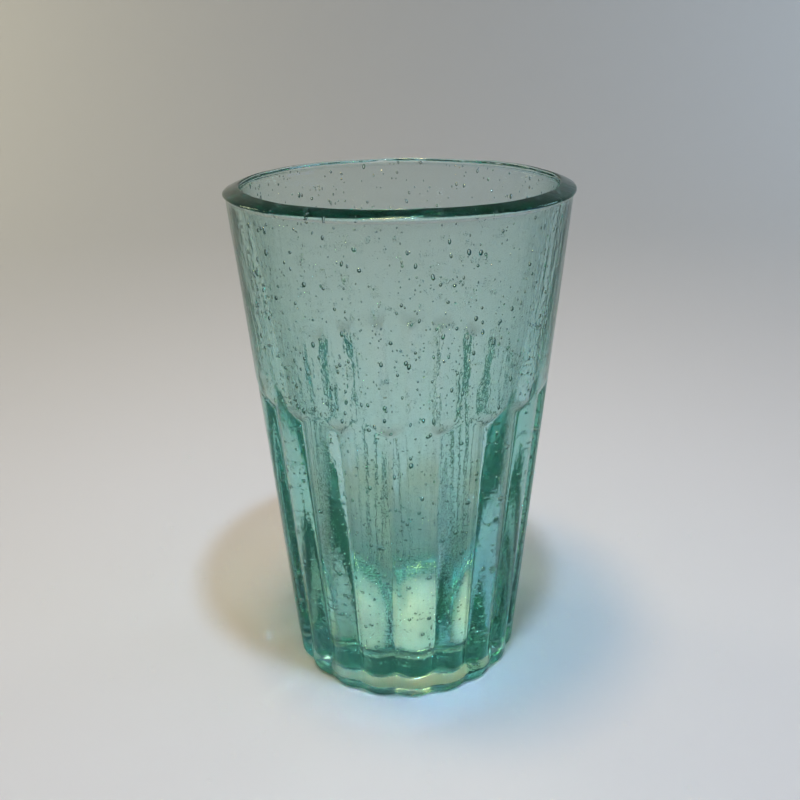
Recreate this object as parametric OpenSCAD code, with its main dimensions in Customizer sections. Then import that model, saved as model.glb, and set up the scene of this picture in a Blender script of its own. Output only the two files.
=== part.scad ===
// Chai glass: a hand-made fluted tumbler of thick, seeded green glass, in millimetres.
// It stands on the origin with +Z up, and its lobes are counted from the side at -Y.

/* [Overall] */
// Height from the table to the top of the rim
height = 110; // [90:1:130]
// Outside diameter of the rim bead
rim_d = 70.4; // [64:0.2:78]
// Diameter across the crests of the lobes at the foot
foot_d = 53; // [47:0.5:58]

/* [Rim] */
// Thickness of the fire-rounded bead along the rim
bead_d = 3.4; // [3.3:0.1:4]
// How far the bead stands out past the wall below it
bead_lip = 0.3; // [0.1:0.1:0.4]

/* [Wall and floor] */
// Thickness of the wall at the rim, without the bead
rim_wall = 2.4; // [2:0.1:2.6]
// Thickness of the wall at the floor, out to a crest
foot_wall = 9; // [7:0.1:10]
// Thickness of the floor
floor_t = 5.5; // [4.5:0.5:9]
// Radius of the rounded corner between the floor and the wall
corner_r = 4; // [3:0.5:5]
// Radius of the rounded edge under the foot
heel_r = 1.2; // [0.6:0.1:2]

/* [Lobes] */
// Number of upright lobes round the lower part
lobe_count = 20; // [16:1:24]
// Radius of a lobe's face at the foot
lobe_foot_r = 6; // [5:0.5:8]
// Radius of a lobe's face at the shoulder
lobe_shoulder_r = 8; // [7:0.5:11]
// How much the crests are flattened by the outer cone
crest_flat = 0.1; // [0.05:0.01:0.2]
// Depth of melted glass that fills the bottom of each groove
groove_fill = 0.12; // [0.05:0.01:0.3]
// Height at which the ledges over the grooves leave the plain wall
shoulder_z = 70; // [50:1:80]
// Radius of the rounded ledge over each groove
ledge_r = 6; // [4:0.5:9]
// Turn of the first groove from -Y towards +X, in degrees
groove_turn = -5; // [-9:0.5:9]

/* [Hidden] */
$fn = 144;
// Length by which cutters and buried ends run past the faces that they meet
overrun = 1;
// Outer cone, taken at the foot and at the top of the rim
foot_r = foot_d / 2;
cone_top_r = rim_d / 2 - bead_lip;
bead_r = bead_d / 2;
// Cavity cone, taken at the floor and at the top of the rim
cavity_floor_r = cone_r(floor_t) - foot_wall;
cavity_top_r = cone_top_r - rim_wall;
cavity_lean = atan((cavity_top_r - cavity_floor_r) / (height - floor_t));
// Centre of the rounded corner, which touches both the floor and the cavity's wall
corner_z = floor_t + corner_r;
corner_x = cavity_r(corner_z) - corner_r / cos(cavity_lean);
// Lobes: half the angle between two crests, and the turn of the first crest from +X
half_pitch = 180 / lobe_count;
first_crest = -90 + groove_turn + half_pitch;
shoulder_r = cone_r(shoulder_z);

// Radius of the outer cone at the height z
function cone_r(z) = foot_r + (cone_top_r - foot_r) * z / height;

// Radius of the cavity's wall at the height z, above its rounded corner
function cavity_r(z) = cavity_floor_r + (cavity_top_r - cavity_floor_r) * (z - floor_t) / (height - floor_t);

// Distance from the axis to the middle of a lobe's arc, where the outer cone has the radius r
function lobe_middle(r, lobe_r) = r + crest_flat - lobe_r;

// Radius at which two neighbouring lobes cross
function cusp_r(middle, lobe_r) =
    middle * cos(half_pitch) + sqrt(lobe_r * lobe_r - pow(middle * sin(half_pitch), 2));

// Section of the outside as turned: foot, rounded heel and straight cone, with no lobes
module turned_section() {
    heel_x = cone_r(heel_r) - heel_r;
    polygon([
        [0, 0],
        [heel_x, 0],
        [cone_r(heel_r), heel_r],
        [cone_r(height - bead_r), height - bead_r],
        [0, height - bead_r]
    ]);
    intersection() {
        translate([heel_x, heel_r]) circle(r = heel_r);
        square([cone_r(heel_r), heel_r]);
    }
}

// One lobe: a leaning cone whose crest follows the outer cone
module lobe() {
    foot_x = lobe_middle(foot_r, lobe_foot_r);
    shoulder_x = lobe_middle(shoulder_r, lobe_shoulder_r);
    lean = atan((shoulder_x - foot_x) / shoulder_z);
    length = shoulder_z / cos(lean);
    slope = (lobe_shoulder_r - lobe_foot_r) / length;
    translate([foot_x, 0, 0])
        rotate([0, lean, 0])
            translate([0, 0, -overrun])
                cylinder(
                    h = length + 2 * overrun,
                    r1 = lobe_foot_r - slope * overrun,
                    r2 = lobe_shoulder_r + slope * overrun
                );
}

// Solid heart of the fluted part, which fills the bottoms of the grooves
module heart() {
    foot_cusp = cusp_r(lobe_middle(foot_r, lobe_foot_r), lobe_foot_r) + groove_fill;
    shoulder_cusp = cusp_r(lobe_middle(shoulder_r, lobe_shoulder_r), lobe_shoulder_r) + groove_fill;
    cylinder(h = shoulder_z, r1 = foot_cusp, r2 = shoulder_cusp);
}

// Plain upper part with the rounded ledge that closes the top of each groove.
// It reaches out past the outer cone, which trims it.
module plain_band() {
    rotate_extrude() {
        translate([0, shoulder_z]) square([rim_d, height - shoulder_z]);
        translate([shoulder_r - ledge_r, shoulder_z]) circle(r = ledge_r);
    }
}

// Section of the hollow, open at the top
module cavity_section() {
    polygon([
        [0, floor_t],
        [corner_x, floor_t],
        [corner_x + corner_r * cos(cavity_lean), corner_z - corner_r * sin(cavity_lean)],
        [cavity_r(height + overrun), height + overrun],
        [0, height + overrun]
    ]);
    translate([corner_x, corner_z]) circle(r = corner_r);
}

module rim_bead() {
    rotate_extrude()
        translate([rim_d / 2 - bead_r, height - bead_r])
            circle(r = bead_r);
}

module glass_tumbler() {
    color([0.45, 0.72, 0.66, 0.6]) {
        difference() {
            intersection() {
                rotate_extrude() turned_section();
                union() {
                    plain_band();
                    heart();
                    for (i = [0 : lobe_count - 1])
                        rotate([0, 0, first_crest + i * 2 * half_pitch]) lobe();
                }
            }
            rotate_extrude() cavity_section();
        }
        rim_bead();
    }
}

glass_tumbler();
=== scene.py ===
import math

import bpy
from mathutils import Matrix, Vector


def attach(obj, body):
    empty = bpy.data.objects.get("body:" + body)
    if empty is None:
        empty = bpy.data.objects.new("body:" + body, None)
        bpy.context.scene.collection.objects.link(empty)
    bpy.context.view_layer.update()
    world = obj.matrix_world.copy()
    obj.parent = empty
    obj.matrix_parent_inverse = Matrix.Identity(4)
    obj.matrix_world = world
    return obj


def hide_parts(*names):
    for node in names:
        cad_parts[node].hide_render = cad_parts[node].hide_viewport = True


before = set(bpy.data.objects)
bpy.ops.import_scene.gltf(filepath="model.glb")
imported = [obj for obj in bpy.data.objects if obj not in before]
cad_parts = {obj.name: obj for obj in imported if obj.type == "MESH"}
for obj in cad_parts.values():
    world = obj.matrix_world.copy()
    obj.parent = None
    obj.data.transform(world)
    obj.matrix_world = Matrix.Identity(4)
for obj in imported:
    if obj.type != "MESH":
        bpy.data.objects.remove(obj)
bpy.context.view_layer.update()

bl_info = {
    "name": "Chai glass",
    "version": (1, 0, 0),
    "blender": (4, 5, 0),
    "location": "3D View > Sidebar > Chai glass",
    "description": "Builds a fluted chai glass of green seeded glass, with a pale floor and soft lights",
    "category": "Object",
}

MM = 0.001
GLASS_IOR = 1.52


def linear(hex_colour):
    """Turns an sRGB colour such as C8F0EC into the linear red, green and blue that Blender works with."""
    values = [int(hex_colour[i : i + 2], 16) / 255 for i in (0, 2, 4)]
    return tuple(v / 12.92 if v <= 0.04045 else ((v + 0.055) / 1.055) ** 2.4 for v in values)


def add(tree, kind, inputs=None, out=0, **settings):
    """Adds one node with its settings and links, and gives back one of its outputs."""
    node = tree.nodes.new(kind)
    for name, value in settings.items():
        setattr(node, name, value)
    for key, value in (inputs or {}).items():
        named = [s for s in node.inputs if s.enabled and s.name == key]
        socket = node.inputs[key] if isinstance(key, int) else named[0]
        if isinstance(value, bpy.types.NodeSocket):
            tree.links.new(value, socket)
        else:
            socket.default_value = value
    return node.outputs[out] if node.outputs else node


def new_tree(name, inputs):
    """Starts a Geometry Nodes tree with a geometry going in and out, and named numbers as its inputs."""
    tree = bpy.data.node_groups.new(name, "GeometryNodeTree")
    tree.interface.new_socket("Geometry", in_out="INPUT", socket_type="NodeSocketGeometry")
    tree.interface.new_socket("Geometry", in_out="OUTPUT", socket_type="NodeSocketGeometry")
    for label, value in inputs.items():
        kind = "NodeSocketInt" if isinstance(value, int) else "NodeSocketFloat"
        tree.interface.new_socket(label, in_out="INPUT", socket_type=kind).default_value = value
    start = tree.nodes.new("NodeGroupInput")
    return tree, {s.name: s for s in start.outputs if s.name}


def finish_tree(tree, geometry, material):
    """Ends a tree as every tree here ends: instances made real, and the material put on."""
    real = add(tree, "GeometryNodeRealizeInstances", {"Geometry": geometry})
    dressed = add(tree, "GeometryNodeSetMaterial", {"Geometry": real, "Material": material})
    end = tree.nodes.new("NodeGroupOutput")
    tree.links.new(dressed, end.inputs[0])


def made_plain(name, mesh, tree, inputs):
    """Runs a tree on a mesh and gives the result back as an object with a plain mesh and no modifier."""
    source = bpy.data.objects.new(name + "_source", mesh)
    bpy.context.scene.collection.objects.link(source)
    modifier = source.modifiers.new("rule", "NODES")
    modifier.node_group = tree
    for item in tree.interface.items_tree:
        if item.in_out == "INPUT" and item.name in inputs:
            modifier[item.identifier] = inputs[item.name]
    bpy.context.view_layer.update()
    depsgraph = bpy.context.evaluated_depsgraph_get()
    result = bpy.data.meshes.new_from_object(source.evaluated_get(depsgraph), depsgraph=depsgraph)
    source.modifiers.clear()
    bpy.data.objects.remove(source)
    if not result.polygons:
        raise RuntimeError(name + " came out of its tree with no faces")
    result.name = name
    piece = bpy.data.objects.new(name, result)
    bpy.context.scene.collection.objects.link(piece)
    return piece


class ChaiGlassSizes(bpy.types.PropertyGroup):
    """Sizes of the glass. Most are the solid model's.

    The wall, the inside corner, the grooves and the shoulder differ from it, for the looks.
    """

    height: bpy.props.FloatProperty(
        name="Height", description="From the table to the top of the rim",
        default=0.110, min=0.09, max=0.13, unit="LENGTH", precision=4)
    rim_diameter: bpy.props.FloatProperty(
        name="Rim diameter", description="Across the outside of the rim",
        default=0.0704, min=0.064, max=0.078, unit="LENGTH", precision=4)
    foot_diameter: bpy.props.FloatProperty(
        name="Foot diameter", description="Across the crests of the lobes at the foot",
        default=0.053, min=0.047, max=0.058, unit="LENGTH", precision=4)
    rim_lip: bpy.props.FloatProperty(
        name="Rim lip", description="How far the rim stands out past the wall below it",
        default=0.0003, unit="LENGTH", precision=5)
    rim_thickness: bpy.props.FloatProperty(
        name="Rim thickness", description="Thickness of the fire-rounded rim",
        default=0.0034, unit="LENGTH", precision=5)
    rim_wall: bpy.props.FloatProperty(
        name="Wall at the top", description="Thickness the wall tapers to at the top, without the rim",
        default=0.0030, unit="LENGTH", precision=4)
    foot_wall: bpy.props.FloatProperty(
        name="Wall at the foot", description="Thickness of the wall at the floor, out to a crest",
        default=0.009, unit="LENGTH", precision=4)
    floor_thickness: bpy.props.FloatProperty(
        name="Floor", description="Height of the inside floor above the table",
        default=0.0055, unit="LENGTH", precision=4)
    corner_radius: bpy.props.FloatProperty(
        name="Inside corner", description="Radius between the inside floor and the wall",
        default=0.006, unit="LENGTH", precision=4)
    heel_radius: bpy.props.FloatProperty(
        name="Heel", description="Radius of the edge under the foot",
        default=0.0012, unit="LENGTH", precision=4)
    kick: bpy.props.FloatProperty(
        name="Kick", description="Height of the shallow hollow under the foot",
        default=0.0025, unit="LENGTH", precision=4)
    kick_ring: bpy.props.FloatProperty(
        name="Standing ring", description="Width of the flat ring that the glass stands on",
        default=0.0035, unit="LENGTH", precision=4)
    kick_run: bpy.props.FloatProperty(
        name="Kick slope", description="Width of the slope from the ring up to the hollow",
        default=0.003, unit="LENGTH", precision=4)
    lobe_count: bpy.props.IntProperty(
        name="Lobes", description="Number of upright lobes round the lower part",
        default=20, min=16, max=24)
    groove_foot: bpy.props.FloatProperty(
        name="Groove depth at the foot", description="Depth between lobes, before rounding takes a fifth off",
        default=0.0017, unit="LENGTH", precision=5)
    groove_shoulder: bpy.props.FloatProperty(
        name="Groove depth at the shoulder", description="The same depth, at the tops of the lobes",
        default=0.0019, unit="LENGTH", precision=5)
    flat_foot: bpy.props.FloatProperty(
        name="Lobe flatness at the foot",
        description="Higher makes the lobes flatter and the grooves narrower",
        default=1.8, min=1.5, max=10)
    flat_shoulder: bpy.props.FloatProperty(
        name="Lobe flatness above", description="Higher makes the lobes flatter and the grooves narrower",
        default=2.2, min=1.5, max=10)
    groove_round: bpy.props.FloatProperty(
        name="Groove rounding", description="Rounding of the groove's bottom, as a share of half a lobe",
        default=0.10, min=0.02, max=0.4, subtype="FACTOR")
    shoulder_height: bpy.props.FloatProperty(
        name="Shoulder height",
        description="Height at which the ledges over the grooves leave the plain wall",
        default=0.0705, unit="LENGTH", precision=4)
    ledge_radius: bpy.props.FloatProperty(
        name="Ledge radius", description="Radius of the rounded ledge over each groove",
        default=0.006, unit="LENGTH", precision=4)
    groove_turn: bpy.props.FloatProperty(
        name="Turn", description="Turn of the first groove from the front towards the right",
        default=math.radians(-5), unit="ROTATION")
    wave_outside: bpy.props.FloatProperty(
        name="Waves outside", description="Depth of the slow waves of the blown wall, outside",
        default=0.00006, unit="LENGTH", precision=5)
    wave_inside: bpy.props.FloatProperty(
        name="Waves inside", description="Depth of the slow waves of the blown wall, inside",
        default=0.00005, unit="LENGTH", precision=5)
    seed_count: bpy.props.IntProperty(
        name="Seeds",
        description="Bubbles that the scatter aims at. About five in six come out, fewest near the axis",
        default=6000, min=0, max=6400)
    seed_size: bpy.props.FloatProperty(
        name="Largest seed", description="Radius of the largest bubbles, which are up to 1.9 times as tall",
        default=0.00040, unit="LENGTH", precision=5)


class ChaiGlassColours(bpy.types.PropertyGroup):
    """Colours of the glass, the floor and the lights."""

    glass: bpy.props.FloatVectorProperty(
        name="Glass", description="Colour that ten millimetres of the glass let through",
        subtype="COLOR", min=0, max=1, default=linear("D0EEEA"))
    # Painted shade: the deep teal that the glass's colour is mixed towards where it is seen edge-on, in place
    # of the darkening that long light paths give
    slant: bpy.props.FloatVectorProperty(
        name="Glass at a slant", description="Colour that the glass turns to where it is seen edge-on",
        subtype="COLOR", min=0, max=1, default=linear("0E6A5C"))
    floor: bpy.props.FloatVectorProperty(
        name="Floor", description="Colour of the plain floor and backdrop",
        subtype="COLOR", min=0, max=1, default=linear("DCDAD8"))
    cool_light: bpy.props.FloatVectorProperty(
        name="Cool lamp", description="Colour of the small lamp above the front right",
        subtype="COLOR", min=0, max=1, default=linear("ACD6FF"))
    warm_light: bpy.props.FloatVectorProperty(
        name="Warm lamp", description="Colour of the small lamp above the left",
        subtype="COLOR", min=0, max=1, default=linear("FFD898"))
    left_light: bpy.props.FloatVectorProperty(
        name="Left backlight", description="Colour of the soft light on the left of the backdrop",
        subtype="COLOR", min=0, max=1, default=linear("FFF8D6"))
    right_light: bpy.props.FloatVectorProperty(
        name="Right backlight", description="Colour of the soft light on the right of the backdrop",
        subtype="COLOR", min=0, max=1, default=linear("D4ECFC"))
    window_light: bpy.props.FloatVectorProperty(
        name="Window", description="Colour of the daylight from the right",
        subtype="COLOR", min=0, max=1, default=linear("80A8FF"))
    fill_light: bpy.props.FloatVectorProperty(
        name="Fills", description="Colour of the weak lights on the other sides of the board",
        subtype="COLOR", min=0, max=1, default=linear("FFF6EC"))
    room: bpy.props.FloatVectorProperty(
        name="Room", description="Colour of the room above the board",
        subtype="COLOR", min=0, max=1, default=linear("F3F9FF"))


def turned_section(sizes):
    """Half section of the glass, from the middle of its underside round the rim to the middle of its floor.

    Each point is its radius, its height, how far the mould's grooves press it in and which waves move it:
    1 for the outside's, -1 for the inside's.
    """
    foot_r = sizes.foot_diameter / 2
    rim_r = sizes.rim_diameter / 2
    top_r = rim_r - sizes.rim_lip
    height = sizes.height

    def outside(z):
        return foot_r + (top_r - foot_r) * z / height

    points = []
    heel = sizes.heel_radius
    heel_x = outside(heel) - heel
    ring_inner = heel_x - sizes.kick_ring
    hollow = ring_inner - sizes.kick_run
    # Underside: a shallow hollow, its slope, and the flat ring that the glass stands on
    for i in range(8):
        points.append((hollow * i / 7, sizes.kick, 0, 0))
    for i in range(1, 13):
        t = 1 - i / 12
        r = hollow + sizes.kick_run * i / 12
        points.append((r, sizes.kick * t * t * (3 - 2 * t), 0.5 * (r / foot_r) ** 6, 0))
    for i in range(1, 4):
        r = ring_inner + sizes.kick_ring * i / 4
        points.append((r, 0, 0.5 * (r / foot_r) ** 6, 0))
    for i in range(9):
        a = math.pi / 2 * i / 8
        points.append((heel_x + heel * math.sin(a), heel - heel * math.cos(a), 0.5, 0.05 * i / 8))
    # Outside wall, finest at the ledges over the grooves
    edge = height - 2.6 * MM
    ledge_low, ledge_high = sizes.shoulder_height - 9 * MM, sizes.shoulder_height + 2 * MM
    steps = [(ledge_low, 38), (ledge_high, 26), (edge, 22)]
    # The grooves reach their full depth this far above the table, and the waves theirs
    full_press, full_wave = 9 * MM, 20 * MM
    low = heel
    for high, count in steps:
        for i in range(1, count + 1):
            z = low + (high - low) * i / count
            rise = min(1, z / full_press)
            points.append((outside(z), z, 0.5 + 0.5 * rise * rise * (3 - 2 * rise), min(1, z / full_wave)))
        low = high
    # Rim: a small outer edge, a gently domed top that leans outwards, and a rounder inner edge
    outer_r, inner_r = 0.6 * MM, 0.45 * MM
    lean_out, lean_in = math.radians(27), math.radians(15)
    width = sizes.rim_thickness
    span = width - outer_r * (1 - math.sin(lean_out)) - inner_r * (1 + math.sin(lean_in))
    dome = span / (math.sin(lean_out) - math.sin(lean_in))
    dome_x = rim_r - outer_r * (1 - math.sin(lean_out)) - dome * math.sin(lean_out)
    dome_z = height - dome
    outer = (dome_x + (dome - outer_r) * math.sin(lean_out), dome_z + (dome - outer_r) * math.cos(lean_out))
    inner = (dome_x + (dome - inner_r) * math.sin(lean_in), dome_z + (dome - inner_r) * math.cos(lean_in))
    for i in range(1, 5):
        z = edge + (outer[1] - edge) * i / 5
        t = i / 5
        points.append((outside(z) + sizes.rim_lip * t * t * (3 - 2 * t), z, 0, 1))
    arcs = [
        (outer, outer_r, math.pi / 2, lean_out, 7),
        ((dome_x, dome_z), dome, lean_out, lean_in, 10),
        (inner, inner_r, lean_in, -math.pi / 2, 8),
    ]
    for (x, z), r, first, last, count in arcs:
        for i in range(count):
            a = first + (last - first) * i / count
            points.append((x + r * math.sin(a), z + r * math.cos(a), 0, 1))
    # Inside wall, rounded corner and floor
    floor = sizes.floor_thickness
    corner = sizes.corner_radius
    low_r = outside(floor) - sizes.foot_wall
    high_r = top_r - sizes.rim_wall

    def inside(z):
        return low_r + (high_r - low_r) * (z - floor) / (height - floor)

    lean = math.atan((high_r - low_r) / (height - floor))
    corner_z = floor + corner
    corner_x = inside(corner_z) - corner / math.cos(lean)
    # Below the rim the wall goes over from the rim's thickness to its own
    thinning = 3 * MM
    swell = inside(inner[1]) - (inner[0] - inner_r)
    for i in range(8):
        z = inner[1] - thinning * i / 8
        t = 1 - i / 8
        points.append((inside(z) - swell * t * t * (3 - 2 * t), z, 0, -i / 8))
    top = inner[1] - thinning
    for i in range(36):
        z = top + (corner_z - top) * i / 35
        points.append((inside(z), z, 0, -1))
    for i in range(1, 13):
        a = math.pi / 2 * i / 12
        r = corner_x + corner * math.cos(a)
        points.append((r, corner_z - corner * math.sin(a), 0, -math.cos(a)))
    for i in range(1, 8):
        points.append((corner_x * (1 - i / 7), floor, 0, 0))
    return points


def glass_rule(material):
    """Tree that turns the section round the axis and presses the mould's grooves and the waves into it."""
    tree, given = new_tree("turned_and_pressed", {
        "Steps round": 440, "Steps along": 200, "Lobes": 20, "Turn": 0.0,
        "Depth at foot": 0.0015, "Depth at shoulder": 0.0015,
        "Flatness at foot": 2.4, "Flatness above": 4.5, "Flatness rise": 0.03, "Rounding": 0.1,
        "Shoulder height": 0.07, "Ledge radius": 0.006, "Ledge softness": 0.00012,
        "Waves outside": 0.0001, "Waves inside": 0.0001, "Rim wave": 0.0002,
        "Height": 0.11, "Uneven turn": 0.02,
    })
    columns = add(tree, "ShaderNodeMath", {0: given["Steps round"], 1: 1.0}, operation="ADD")
    grid = add(tree, "GeometryNodeMeshGrid", {"Vertices X": columns, "Vertices Y": given["Steps along"]})
    number = add(tree, "GeometryNodeInputIndex")
    sockets = dict(given, number=number)

    # Which step round the glass and which point of the section a vertex is
    for name, operation, *values in [
        ("place", "DIVIDE", "number", "Steps along"),
        ("round", "FLOOR", "place"),
        ("before", "MULTIPLY", "round", "Steps along"),
        ("along", "SUBTRACT", "number", "before"),
        ("share", "DIVIDE", "round", "Steps round"),
        ("even", "MULTIPLY", "share", 2 * math.pi),
        # Vertices crowd towards the grooves, where the surface bends most
        ("from_turn", "SUBTRACT", "even", "Turn"),
        ("lobe_turn", "MULTIPLY", "from_turn", "Lobes"),
        ("swing", "SINE", "lobe_turn"),
        ("crowd", "MULTIPLY", "swing", -0.5),
        ("shift", "DIVIDE", "crowd", "Lobes"),
        ("angle", "ADD", "even", "shift"),
        ("sin", "SINE", "angle"),
        ("cos", "COSINE", "angle"),
    ]:
        values = {i: sockets.get(v, v) for i, v in enumerate(values)}
        sockets[name] = add(tree, "ShaderNodeMath", values, operation=operation)

    place = add(tree, "GeometryNodeInputPosition")
    section = {}
    for name, kind, value in [
        ("place", "FLOAT_VECTOR", place),
        ("press", "FLOAT",
         add(tree, "GeometryNodeInputNamedAttribute", {"Name": "press"}, data_type="FLOAT")),
        ("wave", "FLOAT",
         add(tree, "GeometryNodeInputNamedAttribute", {"Name": "wave"}, data_type="FLOAT")),
    ]:
        section[name] = add(
            tree, "GeometryNodeSampleIndex",
            {"Geometry": given["Geometry"], "Value": value, "Index": sockets["along"]},
            data_type=kind, domain="POINT")
    sockets["radius"] = add(tree, "ShaderNodeSeparateXYZ", {0: section["place"]}, out=0)
    sockets["z"] = add(tree, "ShaderNodeSeparateXYZ", {0: section["place"]}, out=2)
    sockets["press"] = section["press"]
    sockets["wave"] = section["wave"]

    # Slow waves: one noise for each side of the wall, longer up the wall than round it
    spot = add(tree, "ShaderNodeCombineXYZ", {0: sockets["sin"], 1: sockets["cos"], 2: 0.0})
    rise = add(tree, "ShaderNodeCombineXYZ", {0: 0.0, 1: 0.0, 2: sockets["z"]})
    long_rise = add(tree, "ShaderNodeVectorMath", {0: rise, 3: 14.0}, operation="SCALE")
    wall_spot = add(tree, "ShaderNodeVectorMath", {0: spot, 1: long_rise}, operation="ADD")
    inner_spot = add(tree, "ShaderNodeVectorMath", {0: wall_spot, 1: (7.3, 2.1, 4.7)}, operation="ADD")
    sockets["noise_out"] = add(
        tree, "ShaderNodeTexNoise", {"Vector": wall_spot, "Scale": 2.6, "Detail": 2.0, "Roughness": 0.45})
    sockets["noise_in"] = add(
        tree, "ShaderNodeTexNoise", {"Vector": inner_spot, "Scale": 2.2, "Detail": 2.0, "Roughness": 0.5})
    sockets["noise_rim"] = add(tree, "ShaderNodeTexNoise", {"Vector": spot, "Scale": 1.7, "Detail": 1.0})
    sockets["noise_turn"] = add(tree, "ShaderNodeTexNoise", {"Vector": spot, "Scale": 2.4, "Detail": 1.0})

    for name, operation, *values in [
        # Lobes: 0 at the middle of a groove, 1 at a crest
        ("uneven", "SUBTRACT", "noise_turn", 0.5),
        ("uneven_turn", "MULTIPLY", "uneven", "Uneven turn"),
        ("hand_turn", "ADD", "from_turn", "uneven_turn"),
        ("true_turn", "ADD", "hand_turn", "shift"),
        ("pitches", "MULTIPLY", "true_turn", "Lobes"),
        ("pitch_share", "DIVIDE", "pitches", 2 * math.pi),
        ("within", "FRACT", "pitch_share"),
        ("centred", "SUBTRACT", "within", 0.5),
        ("side", "ABSOLUTE", "centred"),
        ("from_crest", "MULTIPLY", "side", 2.0),
        ("from_groove", "SUBTRACT", 1.0, "from_crest"),
        # Groove: a narrow rounded valley between two nearly flat faces
        ("square", "POWER", "from_groove", 2.0),
        ("round_square", "POWER", "Rounding", 2.0),
        ("both", "ADD", "square", "round_square"),
        ("rounded", "SQRT", "both"),
        ("valley", "SUBTRACT", 1.0, "rounded"),
        ("valley_kept", "MAXIMUM", "valley", 0.0),
        ("flat_rise", "DIVIDE", "z", "Flatness rise"),
        ("flat_part", "MINIMUM", "flat_rise", 1.0),
        ("flat_change", "SUBTRACT", "Flatness above", "Flatness at foot"),
        ("flat_added", "MULTIPLY", "flat_part", "flat_change"),
        ("flatness", "ADD", "flat_added", "Flatness at foot"),
        ("valley_shape", "POWER", "valley_kept", "flatness"),
        ("depth_rise", "DIVIDE", "z", "Shoulder height"),
        ("depth_change", "SUBTRACT", "Depth at shoulder", "Depth at foot"),
        ("depth_part", "MULTIPLY", "depth_rise", "depth_change"),
        ("depth", "ADD", "depth_part", "Depth at foot"),
        ("groove", "MULTIPLY", "valley_shape", "depth"),
        # Ledge: the quarter round that closes the top of each groove
        ("below", "SUBTRACT", "Shoulder height", "z"),
        ("below_share", "DIVIDE", "below", "Ledge radius"),
        ("below_low", "MAXIMUM", "below_share", 0.0),
        ("below_kept", "MINIMUM", "below_low", 1.0),
        ("below_square", "POWER", "below_kept", 2.0),
        ("rest", "SUBTRACT", 1.0, "below_square"),
        ("arc", "SQRT", "rest"),
        ("fall", "SUBTRACT", 1.0, "arc"),
        ("ledge", "MULTIPLY", "fall", "Ledge radius"),
        ("smooth", "SMOOTH_MIN", "ledge", "groove", "Ledge softness"),
        ("cut", "MAXIMUM", "smooth", 0.0),
        ("pressed", "MULTIPLY", "cut", "press"),
        ("pressed_r", "SUBTRACT", "radius", "pressed"),
        # Waves
        ("out_part", "MAXIMUM", "wave", 0.0),
        ("in_flat", "MINIMUM", "wave", 0.0),
        ("in_part", "MULTIPLY", "in_flat", -1.0),
        ("out_mid", "SUBTRACT", "noise_out", 0.5),
        ("in_mid", "SUBTRACT", "noise_in", 0.5),
        ("out_size", "MULTIPLY", "Waves outside", 4.0),
        ("in_size", "MULTIPLY", "Waves inside", 4.0),
        ("out_wave", "MULTIPLY", "out_mid", "out_size"),
        ("in_wave", "MULTIPLY", "in_mid", "in_size"),
        ("out_move", "MULTIPLY", "out_wave", "out_part"),
        ("in_move", "MULTIPLY", "in_wave", "in_part"),
        ("with_out", "ADD", "pressed_r", "out_move"),
        ("final_r", "ADD", "with_out", "in_move"),
        # The rim rises and falls a little, fading out below it
        ("rim_mid", "SUBTRACT", "noise_rim", 0.5),
        ("near_top", "DIVIDE", "z", "Height"),
        ("near_rim", "POWER", "near_top", 12.0),
        ("rim_size", "MULTIPLY", "Rim wave", 4.0),
        ("rim_lift", "MULTIPLY", "rim_mid", "rim_size"),
        ("lift", "MULTIPLY", "rim_lift", "near_rim"),
        ("final_z", "ADD", "z", "lift"),
        ("x", "MULTIPLY", "final_r", "sin"),
        ("back", "MULTIPLY", "final_r", "cos"),
        ("y", "MULTIPLY", "back", -1.0),
    ]:
        values = {i: sockets.get(v, v) for i, v in enumerate(values)}
        sockets[name] = add(tree, "ShaderNodeMath", values, operation=operation)
    spot = add(tree, "ShaderNodeCombineXYZ", {0: sockets["x"], 1: sockets["y"], 2: sockets["final_z"]})
    turned = add(tree, "GeometryNodeSetPosition", {"Geometry": grid, "Position": spot})
    closed = add(tree, "GeometryNodeMergeByDistance", {"Geometry": turned, "Distance": 1e-6})
    smooth = add(tree, "GeometryNodeSetShadeSmooth", {"Geometry": closed})
    finish_tree(tree, smooth, material)
    return tree


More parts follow.
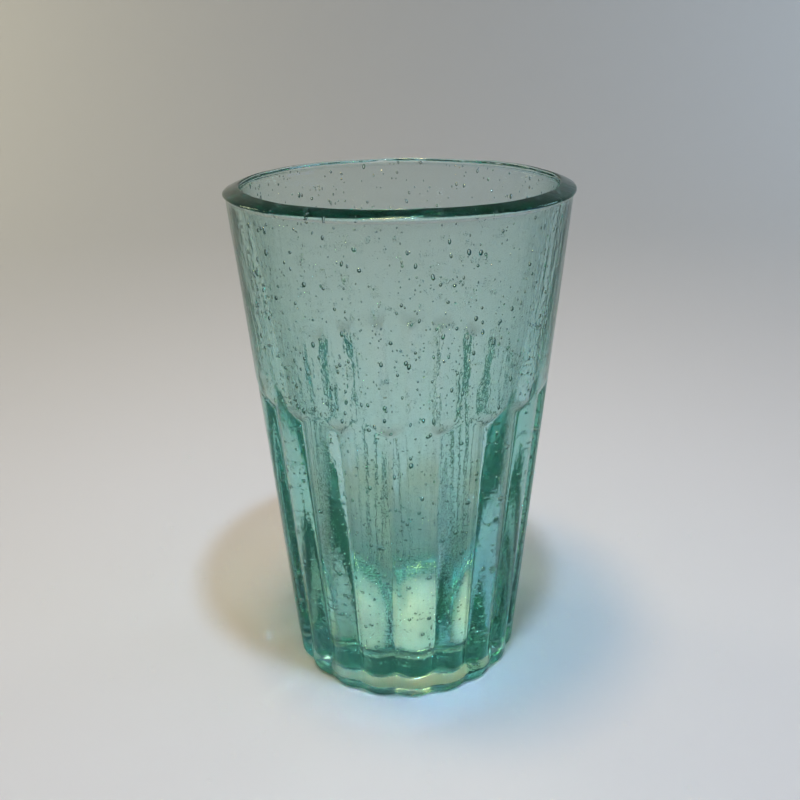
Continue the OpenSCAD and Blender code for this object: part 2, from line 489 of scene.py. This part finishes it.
def seed_rule(material):
    """Tree that scatters small bubbles over the wall's section, and turns each to a place round the glass."""
    tree, given = new_tree("seeds", {"Per area": 3.0e6, "Smallest": 0.00015, "Largest": 0.0005, "Seed": 7})
    place = add(tree, "GeometryNodeInputPosition")
    radius = add(tree, "ShaderNodeSeparateXYZ", {0: place})
    share = add(tree, "ShaderNodeMath", {0: radius, 1: 0.03}, operation="DIVIDE")
    density = add(tree, "ShaderNodeMath", {0: share, 1: given["Per area"]}, operation="MULTIPLY")
    points = add(tree, "GeometryNodeDistributePointsOnFaces",
                 {"Mesh": given["Geometry"], "Density": density, "Seed": given["Seed"]})
    angle = add(tree, "FunctionNodeRandomValue", {"Min": 0.0, "Max": 2 * math.pi, "Seed": 11}, out=1)
    upright = add(tree, "ShaderNodeCombineXYZ", {0: 0.0, 1: 0.0, 2: 1.0})
    turned = add(tree, "ShaderNodeVectorRotate",
                 {"Vector": place, "Axis": upright, "Angle": angle}, rotation_type="AXIS_ANGLE")
    moved = add(tree, "GeometryNodeSetPosition", {"Geometry": points, "Position": turned})
    luck = add(tree, "FunctionNodeRandomValue", {"Min": 0.0, "Max": 1.0, "Seed": 12}, out=1)
    few = add(tree, "ShaderNodeMath", {0: luck, 1: 5.0}, operation="POWER")
    above_smallest = add(
        tree, "ShaderNodeMath", {0: given["Largest"], 1: given["Smallest"]}, operation="SUBTRACT")
    extra = add(tree, "ShaderNodeMath", {0: few, 1: above_smallest}, operation="MULTIPLY")
    size = add(tree, "ShaderNodeMath", {0: extra, 1: given["Smallest"]}, operation="ADD")
    stretch = add(tree, "FunctionNodeRandomValue", {"Min": 0.9, "Max": 1.9, "Seed": 13}, out=1)
    tall = add(tree, "ShaderNodeMath", {0: size, 1: stretch}, operation="MULTIPLY")
    scale = add(tree, "ShaderNodeCombineXYZ", {0: size, 1: size, 2: tall})
    tilt = add(tree, "FunctionNodeRandomValue",
               {"Min": (-0.25, -0.25, 0.0), "Max": (0.25, 0.25, 6.283), "Seed": 14}, data_type="FLOAT_VECTOR")
    tilt_turn = add(tree, "FunctionNodeEulerToRotation", {0: tilt})
    # The small ones are one or two pixels wide, so 20 faces make them round enough; the large ones get 80
    large = add(tree, "FunctionNodeCompare", {0: size, 1: 0.0002}, operation="GREATER_THAN")
    small = add(tree, "FunctionNodeBooleanMath", {0: large}, operation="NOT")
    balls = []
    for chosen, divisions in ((small, 1), (large, 2)):
        ball = add(tree, "GeometryNodeMeshIcoSphere", {"Radius": 1.0, "Subdivisions": divisions})
        round_ball = add(tree, "GeometryNodeSetShadeSmooth", {"Geometry": ball})
        balls.append(add(
            tree, "GeometryNodeInstanceOnPoints",
            {"Points": moved, "Selection": chosen, "Instance": round_ball,
             "Rotation": tilt_turn, "Scale": scale}))
    both = add(tree, "GeometryNodeJoinGeometry", {"Geometry": balls[0]})
    tree.links.new(balls[1], both.node.inputs[0])
    finish_tree(tree, both, material)
    return tree


def glass_body_material(colours):
    """Recycled soda-lime glass, blown into a mould and fire-polished.

    The eye gets a clear body that turns deep green where light runs far through it, a painted teal shade
    where it is seen edge-on, and small ripples and drawn-out cords that bend what is seen through the wall.
    """
    material = bpy.data.materials.new("recycled_soda_lime_glass")
    material.use_nodes = True
    tree = material.node_tree
    tree.nodes.clear()
    where = add(tree, "ShaderNodeTexCoord", out=3)
    # Cords: streaks about 2 mm wide and 15 mm tall, drawn upwards as the glass was blown
    drawn = add(tree, "ShaderNodeMapping", {"Vector": where, "Scale": (1.0, 1.0, 0.14)})
    cords = add(
        tree, "ShaderNodeTexNoise", {"Vector": drawn, "Scale": 480.0, "Detail": 2.0, "Roughness": 0.55})
    # Ripples: an orange peel under 1 mm across, strongest near the foot, where the mould chilled the glass
    ripples = add(
        tree, "ShaderNodeTexNoise", {"Vector": where, "Scale": 1300.0, "Detail": 2.0, "Roughness": 0.6})
    height = add(tree, "ShaderNodeSeparateXYZ", {0: where}, out=2)
    low = add(tree, "ShaderNodeMapRange",
              {"Value": height, "From Min": 0.02, "From Max": 0.09, "To Min": 1.0, "To Max": 0.35},
              interpolation_type="SMOOTHSTEP")
    ripple = add(tree, "ShaderNodeMath", {0: ripples, 1: low}, operation="MULTIPLY")
    bent = add(tree, "ShaderNodeBump", {"Strength": 1.0, "Distance": 0.00006, "Height": cords})
    rough = add(
        tree, "ShaderNodeBump", {"Strength": 1.0, "Distance": 0.00004, "Height": ripple, "Normal": bent})
    # Painted shade: where the glass is seen edge-on, its colour is mixed towards a deep teal, standing in for
    # the darkening that light running far along the wall gives the edges and the lobes' flanks
    edge = add(tree, "ShaderNodeLayerWeight", {"Blend": 0.5}, out=1)
    slant = add(tree, "ShaderNodeMath", {0: edge, 1: 2.3}, operation="POWER")
    # The painted edge shade goes into the glass's base colour, so it darkens what the glass lets through at a
    # slant
    painted_edge_shade = add(tree, "ShaderNodeMix", {"Factor": slant, "A": (1, 1, 1, 1), "B": (*colours.slant, 1)},
               out=2, data_type="RGBA")
    surface = add(tree, "ShaderNodeBsdfPrincipled", {
        "Base Color": painted_edge_shade, "Roughness": 0.0, "IOR": GLASS_IOR, "Transmission Weight": 1.0, "Normal": rough})
    sample = 10 * MM
    per_metre = [-math.log(max(c, 1e-4)) / sample for c in colours.glass]
    # A volume's colour says what is kept of its density, so the density is a little over the largest loss
    density = 1.05 * max(per_metre)
    body = add(tree, "ShaderNodeVolumeAbsorption", {
        "Color": (*[1 - k / density for k in per_metre], 1), "Density": density})
    # Bounced light brings what the glass gathers. The rest of the small lamps' light would be lost, so
    # part of it passes straight through, most where it grazes the wall
    let_by = add(tree, "ShaderNodeMath", {0: edge, 1: 0.5, 2: 0.27}, operation="MULTIPLY_ADD")
    through = add(tree, "ShaderNodeBsdfTransparent", {"Color": let_by})
    to_lamp = add(tree, "ShaderNodeLightPath", out=1)
    either = add(tree, "ShaderNodeMixShader", {0: to_lamp, 1: surface, 2: through})
    add(tree, "ShaderNodeOutputMaterial", {"Surface": either, "Volume": body})
    return material


def seed_material():
    """Air caught in glass. Light meets it from inside the glass, so its index is air's over the glass's."""
    material = bpy.data.materials.new("air_bubble_in_glass")
    material.use_nodes = True
    tree = material.node_tree
    tree.nodes.clear()
    surface = add(tree, "ShaderNodeBsdfPrincipled", {
        "Base Color": (1, 1, 1, 1), "Roughness": 0.0, "IOR": 1 / GLASS_IOR, "Transmission Weight": 1.0})
    add(tree, "ShaderNodeOutputMaterial", {"Surface": surface})
    return material


def floor_material(colours):
    """Matt white plastered board, with a grain of about 1.5 mm that only softens its light."""
    material = bpy.data.materials.new("matt_white_board")
    material.use_nodes = True
    tree = material.node_tree
    tree.nodes.clear()
    where = add(tree, "ShaderNodeTexCoord", out=3)
    grain = add(tree, "ShaderNodeTexNoise", {"Vector": where, "Scale": 700.0, "Detail": 2.0})
    bump = add(tree, "ShaderNodeBump", {"Strength": 0.25, "Distance": 0.00005, "Height": grain})
    surface = add(tree, "ShaderNodeBsdfPrincipled", {
        "Base Color": (*colours.floor, 1), "Roughness": 0.6, "Specular IOR Level": 0.3, "Normal": bump})
    add(tree, "ShaderNodeOutputMaterial", {"Surface": surface})
    return material


class CHAIGLASS_OT_glass_tumbler(bpy.types.Operator):
    """Make the glass itself: turned wall, rim and floor, with the mould's lobes pressed in"""

    bl_idname = "chaiglass.glass_tumbler"
    bl_label = "Glass"

    def execute(self, context):
        sizes = context.scene.chai_sizes
        section = turned_section(sizes)
        mesh = bpy.data.meshes.new("section")
        mesh.from_pydata(
            [(r, 0, z) for r, z, _, _ in section], [(i, i + 1) for i in range(len(section) - 1)], [])
        for name, column in (("press", 2), ("wave", 3)):
            mesh.attributes.new(name, "FLOAT", "POINT").data.foreach_set(
                "value", [float(p[column]) for p in section])
        tree = glass_rule(glass_body_material(context.scene.chai_colours))
        piece = made_plain("glass_body", mesh, tree, {
            "Steps round": 22 * sizes.lobe_count,
            "Steps along": len(section),
            "Lobes": sizes.lobe_count,
            "Turn": sizes.groove_turn,
            "Depth at foot": sizes.groove_foot,
            "Depth at shoulder": sizes.groove_shoulder,
            "Flatness at foot": sizes.flat_foot,
            "Flatness above": sizes.flat_shoulder,
            "Rounding": sizes.groove_round,
            "Shoulder height": sizes.shoulder_height,
            "Ledge radius": sizes.ledge_radius,
            "Waves outside": sizes.wave_outside,
            "Waves inside": sizes.wave_inside,
            "Height": sizes.height,
        })
        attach(piece, "root")
        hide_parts("glass_tumbler")
        return {"FINISHED"}


class CHAIGLASS_OT_seeds(bpy.types.Operator):
    """Scatter the small bubbles through the wall and the floor of the glass"""

    bl_idname = "chaiglass.seeds"
    bl_label = "Seeds"

    def execute(self, context):
        sizes = context.scene.chai_sizes
        foot_r = sizes.foot_diameter / 2
        top_r = sizes.rim_diameter / 2 - sizes.rim_lip
        floor = sizes.floor_thickness
        # Middles of seeds keep this far from the faces and the rim. The strip cuts across the inside corner,
        # where five seeds come through the face by up to 0.23 mm
        margin, rim_margin, corner_margin = 0.6 * MM, 1.6 * MM, 2 * MM
        groove = max(sizes.groove_foot, sizes.groove_shoulder)
        verts = []
        # Strip of the section that is glass all round: floor first, then up the wall
        for i in range(6):
            r = (foot_r - sizes.foot_wall - corner_margin) * i / 5
            verts += [(r, 0, sizes.kick + margin), (r, 0, floor - margin)]
        for i in range(1, 21):
            z = floor + (sizes.height - rim_margin - floor) * i / 20
            outer = foot_r + (top_r - foot_r) * z / sizes.height - margin
            outer -= groove if z < sizes.shoulder_height else 0
            wall = sizes.foot_wall + (sizes.rim_wall - sizes.foot_wall) * (z - floor) / (sizes.height - floor)
            inner = foot_r + (top_r - foot_r) * z / sizes.height - wall + margin
            verts += [(outer, 0, z), (inner, 0, z)]
        faces = [(2 * i, 2 * i + 2, 2 * i + 3, 2 * i + 1) for i in range(len(verts) // 2 - 1)]
        mesh = bpy.data.meshes.new("seed_strip")
        mesh.from_pydata(verts, [], faces)
        area = sum(p.area for p in mesh.polygons)
        piece = made_plain("seeds", mesh, seed_rule(seed_material()), {
            "Per area": sizes.seed_count / area, "Largest": sizes.seed_size})
        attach(piece, "root")
        return {"FINISHED"}


class CHAIGLASS_OT_stage(bpy.types.Operator):
    """Make the plain pale floor that curves up on all sides, the soft lights and the camera"""

    bl_idname = "chaiglass.stage"
    bl_label = "Floor, lights and camera"

    def execute(self, context):
        scene = context.scene
        colours = scene.chai_colours
        # The board is a wide dish: flat round the glass and curved up on all sides, nearest behind the glass
        flat, curve, tall, around = 0.45, 0.5, 1.6, 96
        # Measured along the middle line behind the glass; the sides and the front are this much further off
        wider, deeper = 1.5, 1.4
        profile = [(flat / 3, 0.0), (flat, 0.0)]
        for i in range(1, 25):
            a = math.pi / 2 * i / 24
            profile.append((flat + curve * math.sin(a), curve - curve * math.cos(a)))
        profile.append((flat + curve, tall))
        # It lies a hair below the foot, so that the two surfaces are never in one place
        sunk = 0.05 * MM
        verts = [(0, 0, -sunk)]
        for r, z in profile:
            for i in range(around):
                a = 2 * math.pi * i / around
                x, y = math.cos(a), math.sin(a)
                square = r * (x**4 + y**4) ** -0.25
                verts.append((wider * square * x, (1 if y > 0 else deeper) * square * y, z - sunk))
        faces = [(0, 1 + i, 1 + (i + 1) % around) for i in range(around)]
        for k in range(len(profile) - 1):
            low, high = 1 + k * around, 1 + (k + 1) * around
            faces += [
                (low + i, high + i, high + (i + 1) % around, low + (i + 1) % around) for i in range(around)]
        mesh = bpy.data.meshes.new("floor")
        mesh.from_pydata(verts, [], faces)
        mesh.polygons.foreach_set("use_smooth", [True] * len(faces))
        mesh.materials.append(floor_material(colours))
        board = bpy.data.objects.new("floor", mesh)
        scene.collection.objects.link(board)

        # Two small lamps close above the glass, two soft lights on the backdrop, a window to the right, and
        # three fills for the board's other sides
        for name, place, aim, side, power, colour in [
            ("cool_lamp", (0.020, -0.075, 0.385), (0, 0, 0), 0.02, 1.15, colours.cool_light),
            ("warm_lamp", (-0.042, -0.026, 0.465), (0, 0, 0), 0.07, 1.2, colours.warm_light),
            ("left_backlight", (-0.7, 0.4, 0.5), (-0.25, 0.8, 0.1), 0.4, 2.7, colours.left_light),
            ("right_backlight", (0.7, 0.4, 0.5), (0.25, 0.8, 0.1), 0.4, 2.36, colours.right_light),
            ("window", (1.0, -0.1, 0.5), (0, 0, 0), 0.6, 1.7, colours.window_light),
            ("left_fill", (-0.5, -0.2, 1.1), (-1.4, -0.2, 0.1), 0.6, 1.5, colours.fill_light),
            ("right_fill", (0.5, -0.2, 1.1), (1.4, -0.2, 0.1), 0.6, 1.5, colours.fill_light),
            ("front_fill", (0, -0.5, 1.1), (0, -1.3, 0.1), 0.6, 1.5, colours.fill_light),
        ]:
            light = bpy.data.lights.new(name, "AREA")
            light.shape = "SQUARE"
            light.size = side
            light.energy = power
            light.color = colour
            lamp = bpy.data.objects.new(name, light)
            scene.collection.objects.link(lamp)
            lamp.location = place
            lamp.rotation_euler = (Vector(place) - Vector(aim)).to_track_quat("Z", "Y").to_euler()
        world = bpy.data.worlds.new("dim_room")
        scene.world = world
        world.use_nodes = True
        background = world.node_tree.nodes["Background"]
        background.inputs["Color"].default_value = (*colours.room, 1)
        background.inputs["Strength"].default_value = 0.4

        # The camera is the one fitted to the rim, the foot and the sides of the glass in the photograph
        camera = bpy.data.cameras.new("camera")
        camera.lens = 38.25
        camera.sensor_width = 36
        camera.clip_start = 0.01
        viewer = bpy.data.objects.new("camera", camera)
        scene.collection.objects.link(viewer)
        tilt = Matrix.Rotation(math.radians(66.73), 4, "X") @ Matrix.Rotation(math.radians(-0.90), 4, "Z")
        viewer.matrix_world = Matrix.Translation((-0.00055, -0.1747, 0.1363)) @ tilt
        scene.camera = viewer
        # The small lamps' light isn't cut off, and is hardly blurred, where the glass gathers it on the board
        scene.cycles.sample_clamp_indirect = 0
        scene.cycles.blur_glossy = 0.1
        # Thick glass needs many bounces before light that runs along the wall finds its way out
        scene.cycles.max_bounces = 24
        scene.cycles.transmission_bounces = 24
        scene.cycles.glossy_bounces = 24
        scene.view_settings.view_transform = "Standard"
        scene.view_settings.look = "High Contrast"
        scene.view_settings.exposure = -1.11
        return {"FINISHED"}


class CHAIGLASS_PT_panel(bpy.types.Panel):
    """Lists the sizes, the colours and the steps that build the glass"""

    bl_idname = "CHAIGLASS_PT_panel"
    bl_label = "Chai glass"
    bl_space_type = "VIEW_3D"
    bl_region_type = "UI"
    bl_category = "Chai glass"

    def draw(self, context):
        for group in (context.scene.chai_sizes, context.scene.chai_colours):
            column = self.layout.column()
            for name in group.__annotations__:
                column.prop(group, name)
        for step in STEPS:
            self.layout.operator(step.bl_idname)


STEPS = (CHAIGLASS_OT_stage, CHAIGLASS_OT_glass_tumbler, CHAIGLASS_OT_seeds)
CLASSES = (ChaiGlassSizes, ChaiGlassColours, *STEPS, CHAIGLASS_PT_panel)


def register():
    for item in CLASSES:
        bpy.utils.register_class(item)
    bpy.types.Scene.chai_sizes = bpy.props.PointerProperty(type=ChaiGlassSizes)
    bpy.types.Scene.chai_colours = bpy.props.PointerProperty(type=ChaiGlassColours)


def unregister():
    del bpy.types.Scene.chai_colours
    del bpy.types.Scene.chai_sizes
    for item in reversed(CLASSES):
        bpy.utils.unregister_class(item)


def main():
    register()
    bpy.ops.chaiglass.stage()
    bpy.ops.chaiglass.glass_tumbler()
    bpy.ops.chaiglass.seeds()


if __name__ == "__main__":
    main()
